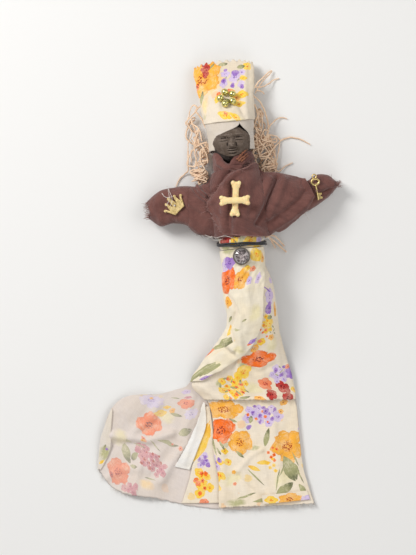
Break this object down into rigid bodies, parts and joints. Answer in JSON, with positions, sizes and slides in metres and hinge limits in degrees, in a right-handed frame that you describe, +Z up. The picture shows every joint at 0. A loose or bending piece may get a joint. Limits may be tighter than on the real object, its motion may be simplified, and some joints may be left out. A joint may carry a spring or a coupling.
{
  "type": "corn husk doll",
  "caption": "Dressed folk doll on a cross of sticks, lying on its back: clay face, cloth hat, shawl and long skirt with a train, corded waist with a hinged gem, metal and bone charms.",
  "frame": {"origin": "bottom middle of the doll's bounding box, on the table it lies on", "axes": "+Z up from the table, +Y along the spine stick from the hem to the hat, +X to the doll's own left hand (the right-hand side as it is seen from above)"},
  "size_m": [0.2416, 0.4088, 0.0583],
  "materials": {
    "arm_husk_left": "dry husk, matt",
    "arm_husk_right": "dry husk, matt",
    "arm_stick": "dry twig",
    "back_panel": "printed cotton, reverse side up",
    "belt_cord": "waxed cotton cord",
    "bodice": "brown cotton",
    "bone_crosspiece": "polished bone",
    "bone_upright": "polished bone",
    "clay_face": "air-dried clay, rough",
    "crown_charm": "gold, stippled",
    "crown_stitch": "thread",
    "front_lower": "printed cotton",
    "front_upper": "printed cotton",
    "gem_crystal": "clear, polished",
    "gem_setting": "darkened silver",
    "hair_left": "raffia",
    "hair_right": "raffia",
    "hat": "printed cotton",
    "hat_bead_1": "gold, polished",
    "hat_bead_2": "gold, polished",
    "hat_bead_3": "gold, polished",
    "hat_bead_4": "gold, polished",
    "hat_bead_5": "gold, polished",
    "hat_lining": "plain cotton",
    "hat_stuffing": "wool stuffing",
    "head_ball": "wool stuffing",
    "key_charm": "old gold",
    "key_thread": "thread",
    "neck_wrap": "brown cotton",
    "overwrap": "printed cotton",
    "pleat_strip": "printed cotton",
    "raffia_ends": "raffia",
    "shawl_back": "brown cotton",
    "shawl_left": "brown cotton",
    "shawl_right": "brown cotton",
    "skirt_husk": "dry husk, matt",
    "sleeve_left": "brown cotton",
    "sleeve_right": "brown cotton",
    "spine_stick": "dry twig",
    "stick_lashing": "twisted thread",
    "torso_husk": "dry husk, matt",
    "turned_hem": "printed cotton",
    "turned_train_edge": "printed cotton",
    "waistband": "printed cotton",
    "white_edge_strip": "plain cotton"
  },
  "bodies": {
    "doll": {"arm_husk_left": "arm_husk_left", "arm_husk_right": "arm_husk_right", "arm_stick": "arm_stick", "back_panel": "back_panel", "bodice": "bodice", "bone_crosspiece": "bone_crosspiece", "bone_upright": "bone_upright", "clay_face": "clay_face", "crown_stitch": "crown_stitch", "front_lower": "front_lower", "front_upper": "front_upper", "hair_left": "hair_left", "hair_right": "hair_right", "hat": "hat", "hat_bead_1": "hat_bead_1", "hat_bead_2": "hat_bead_2", "hat_bead_3": "hat_bead_3", "hat_bead_4": "hat_bead_4", "hat_bead_5": "hat_bead_5", "hat_lining": "hat_lining", "hat_stuffing": "hat_stuffing", "head_ball": "head_ball", "key_thread": "key_thread", "neck_wrap": "neck_wrap", "overwrap": "overwrap", "pleat_strip": "pleat_strip", "raffia_ends": "raffia_ends", "shawl_back": "shawl_back", "shawl_left": "shawl_left", "shawl_right": "shawl_right", "skirt_husk": "skirt_husk", "sleeve_left": "sleeve_left", "sleeve_right": "sleeve_right", "spine_stick": "spine_stick", "stick_lashing": "stick_lashing", "torso_husk": "torso_husk", "turned_hem": "turned_hem", "turned_train_edge": "turned_train_edge", "waistband": "waistband", "white_edge_strip": "white_edge_strip"},
    "belt": {"belt_cord": "belt_cord"},
    "gem": {"gem_setting": "gem_setting", "gem_crystal": "gem_crystal"},
    "crown": {"crown_charm": "crown_charm"},
    "key": {"key_charm": "key_charm"}
  },
  "joints": [
    {"name": "belt_turn", "type": "hinge", "parent": "doll", "child": "belt", "pos_m": [0.03027, 0.03561, 0.02324], "axis": [0, 1, 0], "range_deg": [-40, 40]},
    {"name": "gem_lift", "type": "hinge", "parent": "belt", "child": "gem", "pos_m": [0.02887, 0.03481, 0.0448], "axis": [-0.9979, 0, -0.0645], "range_deg": [0, 100]},
    {"name": "crown_turn", "type": "hinge", "parent": "doll", "child": "crown", "pos_m": [-0.02569, 0.07684, 0.02853], "axis": [-0.2419, 0, 0.9703], "range_deg": [-12, 12]},
    {"name": "key_swing", "type": "hinge", "parent": "doll", "child": "key", "pos_m": [0.10217, 0.07711, 0.02562], "axis": [0, 0, 1], "range_deg": [-10, 10]}
  ]
}
